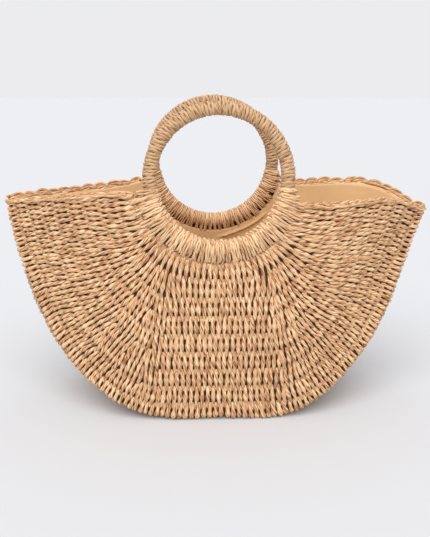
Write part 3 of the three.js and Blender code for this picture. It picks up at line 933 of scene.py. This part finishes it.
class STRAWBAG_OT_handles(bpy.types.Operator):
    """Wind the ring handles and loop their lower parts to the panels"""

    bl_idname = "straw_bag.handles"
    bl_label = "Ring Handles"

    STEPS_ROUND = 28
    SIDES_OF_CORD = 8
    # The ring's cord takes a painted highlight in the light straw colour on the crests of its folds and
    # painted shade in their creases
    RING_COLOURS = ("ring_dark", "ring_light", "straw_stain_and_shade", "straw_light")
    # The loops take the woven straw's painted highlight and painted crease shade
    LOOP_COLOURS = ("straw_dark", "loop_light", "straw_stain_and_shade", "painted_gleam")
    # The hoop and the strip under the handles' wraps and loops are coloured in the painted shade colours, so
    # that the gaps between the wraps and the loops show dark
    UNDER_PAINTED_SHADE_COLOURS = ("painted_shade_backing", "straw_stain_and_shade", "painted_shade_backing", "straw_dark")

    # The hoop under the wraps, and the strip between ring and panel under the loops
    HOOP_RADIUS, HOOP_STEPS, HOOP_SIDES = 0.0055, 96, 12
    STRIP_HALF_THICKNESS, STRIP_STEPS = 0.0007, 60
    STRIP_SHARE = 0.93  # how far the strip goes up each side, as a share of the panel

    # The wraps: waves of their waver in each, the drift of those in radians, the wraps' stray in height in
    # metres, and after how many sections each kind of noise has a new value
    WAVES, WAVER_DRIFT, WRAP_STRAY = 3.5, 1.2, 0.00018
    DRIFT_STEPS, SHIFT_STEPS, STRAY_STEPS, TONE_STEPS = 25, 9, 6, 14
    WRAP_HEIGHT = 0.9  # thickness of a wrap as a share of its width

    # The loops: half the distance between a loop's legs and the width of both, as shares of the pitch, on the
    # outer and on the inner face
    OUTER_LOOPS, INNER_LOOPS = (0.22, 0.98), (0.19, 0.76)
    LEG_STEPS, TOP_STEPS = 22, 9
    LEG_START = 0.03  # where a leg starts, as a share of its way round the tube
    LOOP_COVER = 0.0018  # how far the loops stand out over the ring's tube
    LOOP_HEIGHT = 1.15  # thickness of a leg as a share of its width
    OPEN_FROM, OPEN_TO = math.radians(22), math.radians(60)  # where the longer loops start and are longest
    PANEL_FADE = math.radians(9)  # over which the loops draw back to the ring past the panel's end
    LOW_POWER = 3  # higher, and less of a loop is drawn down from the tube to the panel
    PLACE_SPREAD, APART_SPREAD, LEAN_SPREAD, SNAKE = 0.05, 0.1, 0.12, 0.07
    SNAKE_WAVES, LOOP_TWIST = 3.2, 6

    # The flat cord wound under the loops: its half sizes and how deep it lies in the tube
    UNDER_WIDTH, UNDER_HEIGHT, UNDER_DEPTH = 0.0022, 0.0013, 0.0006

    def execute(self, context):
        settings = context.scene.straw_bag
        sizes, colours = settings.handles, settings.colours
        straw = straw_material("handle_straw", colours, self.RING_COLOURS, WOUND_PAINTED_FOLD_LIGHT)
        loop_straw = straw_material("loop_straw", colours, self.LOOP_COLOURS, WOUND_PAINTED_FOLD_LIGHT)
        under = straw_material("under_straw_painted_shade", colours, self.UNDER_PAINTED_SHADE_COLOURS, WOUND_PAINTED_FOLD_LIGHT)
        random = np.random.default_rng(SEED + 1)
        for name, side in SIDES.items():
            self.make_core(name, side, under)
            self.make_wraps(name, side, sizes, straw, random)
            self.make_loops(name, side, sizes, loop_straw, random)
        return {"FINISHED"}

    def make_core(self, name, side, material):
        """The hoop under the wraps and, under the loops, a thin strip from its middle to the panel's seam."""
        # Both are in the dark painted shade colours, seen as shadow between the wraps and the loops
        cords = Cords(self.HOOP_SIDES, 1.0, 0.0)
        angle = 2 * math.pi * np.arange(self.HOOP_STEPS) / self.HOOP_STEPS
        path = ring_point(side, angle, RING_MEAN_RADIUS, 0.0)[None]
        out = unit(path - ring_centre(side))
        cords.add(path, out, self.HOOP_RADIUS, self.HOOP_RADIUS, 0.5, closed=True)
        left, right = -self.STRIP_SHARE * MEETS[side][LEFT], self.STRIP_SHARE * MEETS[side][RIGHT]
        angle = np.linspace(left, right, self.STRIP_STEPS)
        path = ring_point(side, angle, (RING_MEAN_RADIUS + SEAM_RADIUS) / 2, 0.0)[None]
        out = unit(path - ring_centre(side))
        cords.add(path, out, self.STRIP_HALF_THICKNESS, (SEAM_RADIUS - RING_MEAN_RADIUS) / 2, 0.5)
        cords.piece(f"{name}_ring_core", material, "handle_cord")

    def make_wraps(self, name, side, sizes, material, random):
        """One cord wound round the free part of the ring, wavering so that the wraps lie unevenly."""
        span = 2 * (math.pi - BINDING_SPAN)
        turns = round(span * RING_MEAN_RADIUS / sizes.wrap_pitch)
        count = turns * self.STEPS_ROUND
        around = np.linspace(0, 2 * math.pi * turns, count)
        drift = self.WAVER_DRIFT * slow_noise(random, count, self.DRIFT_STEPS)
        waver = sizes.wrap_waver * np.sin(self.WAVES * around + drift)
        shift = 0.5 * sizes.wrap_waver * slow_noise(random, count, self.SHIFT_STEPS)
        angle = BINDING_SPAN + span * around / around[-1] + (waver + shift) / RING_MEAN_RADIUS
        cord = sizes.wrap_cord / 2
        height = self.WRAP_HEIGHT * cord
        radius = RING_TUBE_RADIUS - height + self.WRAP_STRAY * slow_noise(random, count, self.STRAY_STEPS)
        path, out = wound_on_ring(side, angle, around, radius)
        tone = tone_of(slow_noise(random, count, self.TONE_STEPS), middle=0.5, spread=0.18)
        cords = Cords(self.SIDES_OF_CORD, sizes.cord_lay)
        cords.add(path[None], out[None], cord, height, tone[None])
        piece = cords.piece(f"{name}_ring_wraps", material, "handle_cord")
        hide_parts(f"{name}_handle_ring")

    def make_loops(self, name, side, sizes, material, random):
        """The doubled cords that loop over the lower part of the ring and through the panel's edge, over a
        flat cord wound on the ring."""
        cords = Cords(self.SIDES_OF_CORD, sizes.cord_lay)
        turns = round(2 * BINDING_SPAN * SEAM_RADIUS / sizes.loop_pitch)
        self.add_loops(cords, side, side, turns, sizes, sizes.loop_top, *self.OUTER_LOOPS, random)
        self.add_loops(cords, side, -side, turns, sizes, sizes.loop_over, *self.INNER_LOOPS, random)
        around = np.linspace(0, 2 * math.pi * turns, turns * self.STEPS_ROUND)
        angle = -BINDING_SPAN + 2 * BINDING_SPAN * around / around[-1]
        path, out = wound_on_ring(side, angle, around, RING_TUBE_RADIUS - self.UNDER_DEPTH)
        cords.add(path[None], out[None], self.UNDER_WIDTH, self.UNDER_HEIGHT, 0.4)
        piece = cords.piece(f"{name}_ring_loops", material, "binding_cord")
        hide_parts(f"{name}_ring_binding")

    def add_loops(self, cords, side, face, turns, sizes, top, apart, fill, random):
        """One face's row of loops, each up one leg, over a round top and down the other leg. On the outer
        face every second loop towards the sides reaches further down over the panel."""
        pitch = 2 * BINDING_SPAN / turns
        middle = -BINDING_SPAN + (np.arange(turns) + 0.5) * pitch
        middle = middle + self.PLACE_SPREAD * pitch * random.normal(0, 1, turns)
        near = RING_TUBE_RADIUS + self.LOOP_COVER - sizes.loop_cord / 2
        bend = pitch * RING_MEAN_RADIUS * apart / near
        leg = np.linspace(self.LEG_START, 1, self.LEG_STEPS) * (top - bend)
        arc = np.linspace(0, math.pi, self.TOP_STEPS)[1:-1]
        around = np.concatenate([leg, top - bend + bend * np.sin(arc), leg[::-1]])
        aside = np.concatenate([np.full(len(leg), -1.0), -np.cos(arc), np.full(len(leg), 1.0)])
        meets = by_hand(middle, MEETS[side])
        on_panel = smooth((meets - np.abs(middle)) / self.PANEL_FADE + 1)
        open_share = smooth((np.abs(middle) - self.OPEN_FROM) / (self.OPEN_TO - self.OPEN_FROM))
        reach = sizes.loop_reach * open_share * (np.arange(turns) % 2) * (face == side) * on_panel
        reach = reach + sizes.loop_uneven * random.normal(0, 1, turns)
        stretch = (SEAM_RADIUS - RING_MEAN_RADIUS - near) * on_panel + reach
        low = np.maximum(np.cos(around), 0) ** self.LOW_POWER
        distance = RING_MEAN_RADIUS + near * np.cos(around) + stretch[:, None] * low
        lean = self.LEAN_SPREAD * pitch * random.normal(0, 1, (turns, 1)) * (1 - around / top)
        phase = random.uniform(0, 2 * math.pi, (turns, 1))
        lean = lean + self.SNAKE * pitch * np.sin(self.SNAKE_WAVES * around + phase + np.sign(aside))
        spread = 1 + self.APART_SPREAD * random.normal(0, 1, (turns, 1))
        angle = middle[:, None] + pitch * apart * aside * spread + lean
        path = ring_point(side, angle, distance, face * near * np.sin(around))
        out = unit(path - ring_point(side, angle, RING_MEAN_RADIUS, 0.0))
        width = fill * pitch * distance / 4
        tone = tone_of(random.normal(0, 1, (turns, 1)), middle=0.55, spread=0.2)
        twist = self.LOOP_TWIST * middle[:, None, None]
        cords.add(path, out, width, self.LOOP_HEIGHT * width, tone, offset=twist)


class STRAWBAG_OT_braids(bpy.types.Operator):
    """Plait the scalloped braids along the top edges"""

    bl_idname = "straw_bag.braids"
    bl_label = "Rim Braids"

    SIDES_OF_CORD = 8
    STEP = 0.0011  # between the sections of the cords along the rim
    PATH_STEPS, PATH_EDGE = 40, 20

    # The cords along the rim: metres inwards from its middle, height in half cords, and how far they stray
    RIM_CORDS = ((-0.0025, -0.6), (-0.0012, 0.7), (0.0012, 0.8), (0.0026, -0.5))
    RIM_STRAY = 0.0005
    STRAY_STEPS, TONE_STEPS = 6, 8  # sections after which their noise has a new value

    # The two cords of an arch: how much lower in half cords, and length along the rim in arches
    ARCH_CORDS = ((0.0, 1.3), (1.9, 1.05))
    ARCH_STEPS = 16
    ARCH_BASE, ARCH_ROUND = 0.8, 0.8  # height of its feet in half cords, and the power that rounds its top
    PLACE_SPREAD, HEIGHT_SPREAD = 0.13, 0.15
    BACK_FROM, BACK_FADE = 0.42, 0.12  # where the front's low arches grow to the back's, in shares of the rim
    ARCH_TWIST = 5  # turn of the cord's twist from arch to arch, in radians a metre

    def execute(self, context):
        settings = context.scene.straw_bag
        sizes, colours = settings.braids, settings.colours
        straw = straw_material("braid_straw", colours, STRAW_COLOURS, WOUND_PAINTED_FOLD_LIGHT)
        random = np.random.default_rng(SEED + 2)
        for name, hand in HANDS.items():
            self.make_braid(name, hand, sizes, straw, random)
        return {"FINISHED"}

    def rim_path(self, hand):
        """Middle of the wall's top edge, from the front ring round the corner to the back ring."""
        stations = wall_stations(self.PATH_STEPS, self.PATH_EDGE)
        front = wall_points(FRONT, float(hand), stations, WALL / 2)
        back = wall_points(BACK, float(hand), stations, WALL / 2)[::-1][1:]
        path = np.concatenate([front, back])
        length = running_length(path)
        count = int((length[-1] - 2 * BRAID_START) / self.STEP)
        places = np.linspace(BRAID_START, length[-1] - BRAID_START, count)
        return read_along(places, length, path), places - places[0]

    def make_braid(self, name, hand, sizes, material, random):
        """Four cords along the rim and, over them, doubled arches that each tuck behind the next."""
        path, along = self.rim_path(hand)
        tangent = unit(np.gradient(path, axis=0))
        across = unit(np.cross(np.array([0.0, 0.0, 1.0]), tangent))
        up = np.cross(tangent, across)
        inward = hand * across
        cords = Cords(self.SIDES_OF_CORD, sizes.cord_lay)
        cord = sizes.cord / 2
        for place, rise in self.RIM_CORDS:
            stray = self.RIM_STRAY * slow_noise(random, len(along), self.STRAY_STEPS)
            rise = BRAID_GAP + rise * cord + stray
            centre = path + up * rise[:, None] + inward * (place + stray)[:, None]
            tone = tone_of(slow_noise(random, len(along), self.TONE_STEPS), middle=0.4, spread=0.2)
            cords.add(centre[None], across[None], cord, cord, tone[None])
        arches = round(along[-1] / sizes.scallop)
        spacing = along[-1] / arches
        middle = (np.arange(arches) + 0.5 + self.PLACE_SPREAD * random.normal(0, 1, arches)) * spacing
        at_back = smooth((middle / along[-1] - self.BACK_FROM) / self.BACK_FADE)
        tall = blend(sizes.front_share, 1.0, at_back) * (1 + self.HEIGHT_SPREAD * random.normal(0, 1, arches))
        share = np.linspace(0, 1, self.ARCH_STEPS)
        swing = np.sin(math.pi * share) ** self.ARCH_ROUND
        deep = (sizes.depth * np.cos(math.pi * share))[None, :, None]
        for lower, reach in self.ARCH_CORDS:
            at = np.clip(middle[:, None] + (share - 0.5) * spacing * reach, 0, along[-1])
            lift = BRAID_GAP + self.ARCH_BASE * cord + (sizes.height * tall[:, None] - lower * cord) * swing
            on_path, above, inside = (read_along(at, along, grid) for grid in (path, up, inward))
            centre = on_path + above * lift[..., None] - inside * deep
            tone = tone_of(random.normal(0, 1, (arches, 1)), middle=0.5, spread=0.2)
            cords.add(centre, inside, cord, cord, tone, offset=self.ARCH_TWIST * middle[:, None, None])
        piece = cords.piece(f"{name}_braid", material, "braid_cord")
        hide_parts(f"{name}_rim_braid")


class STRAWBAG_OT_lining(bpy.types.Operator):
    """Hang the cloth lining inside the bag"""

    bl_idname = "straw_bag.lining"
    bl_label = "Lining"

    FLAT_SIZE = (0.43, 0.53)
    FLAT_AREA = 0.18
    COLUMNS, HEM_ROWS, WALL_ROWS, EDGE_ROWS = 181, 26, 34, 20
    HEM = 0.2  # station where the hem's close rows end
    END_TURN = 0.9995

    # The crease under the back ring, in turns: its ends, their fades, and where it has risen
    CREASE_FROM, CREASE_TO = 0.02, 0.66
    CREASE_START_FADE, CREASE_END_FADE = 0.12, 0.08
    CREASE_RISEN = 0.3

    # The shallow folds: radians across a unit of turn, down a panel, and of their bend and how often it comes
    FOLDS_ACROSS, FOLDS_DOWN, FOLD_BEND, FOLD_BENDS = 11, 6, 2, 5
    HEM_FADE = 0.03  # metres below the top edge over which the folds grow
    EDGE_LIMIT, EDGE_FADE, CORNER_FADE = 1.1, 0.3, 0.3  # where they end at the lower edge and at the corners

    def execute(self, context):
        settings = context.scene.straw_bag
        sizes, colours = settings.lining, settings.colours
        cloth = cloth_material("lining_cloth", tuple(colours.lining), tuple(colours.lining_stain_and_shade))
        outer, inner = self.layer(sizes, 0.0), self.layer(sizes, sizes.thickness)
        rows, columns = outer.shape[:2]
        points = np.concatenate([outer.reshape(-1, 3), inner.reshape(-1, 3)])
        faces = self.cloth_faces(rows, columns)
        lining = new_piece("lining_sheet", points, faces, cloth)
        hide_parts("lining")
        return {"FINISHED"}

    def layer(self, sizes, deeper):
        """One face of the cloth, from the front edge down, across the base and up to the back edge."""
        turn = np.linspace(-self.END_TURN, self.END_TURN, self.COLUMNS)[:, None]
        hem = np.linspace(0, self.HEM, self.HEM_ROWS)
        wall = np.linspace(self.HEM, 1, self.WALL_ROWS)[1:]
        stations = np.concatenate([hem, wall, edge_stations(self.EDGE_ROWS)])[None, :]
        halves = []
        for side in (FRONT, BACK):
            down = running_length(wall_points(side, turn, stations, sizes.inset))
            hang = self.hang(turn, stations, down, sizes)
            if side == BACK:
                hang = hang + self.crease(turn, down, sizes)
            points = wall_points(side, turn, stations, sizes.inset + deeper + hang)
            first, second = points[:, :1], points[:, 1:2]
            above = first + unit(first - second) * sizes.above
            halves.append(np.concatenate([above, points], axis=1))
        return np.concatenate([halves[0], halves[1][:, ::-1][:, 1:]], axis=1)

    def crease(self, turn, down, sizes):
        """How far the crease under the back ring stands off. It starts low and rises towards the right."""
        below = blend(sizes.fold_below, sizes.fold_near, smooth(turn / self.CREASE_RISEN))
        fold = sizes.fold * np.exp(-(((down - below) / sizes.fold_width) ** 2))
        fold = fold * smooth((turn - self.CREASE_FROM) / self.CREASE_START_FADE)
        return fold * smooth((self.CREASE_TO - turn) / self.CREASE_END_FADE)

    def hang(self, turn, stations, down, sizes):
        """How far the cloth hangs off the wall in shallow folds."""
        bend = self.FOLD_BEND * np.sin(self.FOLD_BENDS * turn)
        fold = 0.5 + 0.5 * np.sin(self.FOLDS_ACROSS * turn + self.FOLDS_DOWN * np.minimum(stations, 1) + bend)
        fold = sizes.slack * fold * smooth(down / self.HEM_FADE)
        fold = fold * smooth((self.EDGE_LIMIT - stations) / self.EDGE_FADE)
        return fold * smooth((1 - np.abs(turn)) / self.CORNER_FADE)

    def cloth_faces(self, rows, columns):
        """Both faces of the cloth and the four narrow sides between them."""
        far = rows * columns
        faces = grid_faces(columns, rows)
        border = [np.arange(columns), columns * np.arange(1, rows) + columns - 1]
        border.append((rows - 1) * columns + np.arange(columns - 2, -1, -1))
        border.append(columns * np.arange(rows - 2, 0, -1))
        border = np.concatenate(border)
        following = np.roll(border, -1)
        sides = np.stack([border, following, following + far, border + far], axis=-1)
        return np.concatenate([faces, faces[:, ::-1] + far, sides]).tolist()


class STRAWBAG_PT_panel(bpy.types.Panel):
    """Lists the bag's steps"""

    bl_label = "Straw Bag"
    bl_idname = "STRAWBAG_PT_panel"
    bl_space_type = "VIEW_3D"
    bl_region_type = "UI"
    bl_category = "Straw Bag"

    def draw(self, context):
        settings = context.scene.straw_bag
        for operator, group in STEPS:
            box = self.layout.box()
            box.operator(operator.bl_idname)
            sizes = getattr(settings, group)
            for key in type(sizes).__annotations__:
                box.prop(sizes, key)
        colours = self.layout.box()
        for key in BagColours.__annotations__:
            colours.prop(settings.colours, key)


STEPS = [
    (STRAWBAG_OT_stage, "stage"),
    (STRAWBAG_OT_weave, "weave"),
    (STRAWBAG_OT_handles, "handles"),
    (STRAWBAG_OT_braids, "braids"),
    (STRAWBAG_OT_lining, "lining"),
]
CLASSES = [
    WeaveSizes,
    HandleSizes,
    BraidSizes,
    LiningSizes,
    StageSizes,
    BagColours,
    BagSettings,
    *[operator for operator, _ in STEPS],
    STRAWBAG_PT_panel,
]


def register():
    for cls in CLASSES:
        bpy.utils.register_class(cls)
    bpy.types.Scene.straw_bag = bpy.props.PointerProperty(type=BagSettings)


def unregister():
    del bpy.types.Scene.straw_bag
    for cls in reversed(CLASSES):
        bpy.utils.unregister_class(cls)


def main():
    register()
    bpy.ops.straw_bag.stage()
    bpy.ops.straw_bag.weave()
    bpy.ops.straw_bag.handles()
    bpy.ops.straw_bag.braids()
    bpy.ops.straw_bag.lining()


if __name__ == "__main__":
    main()
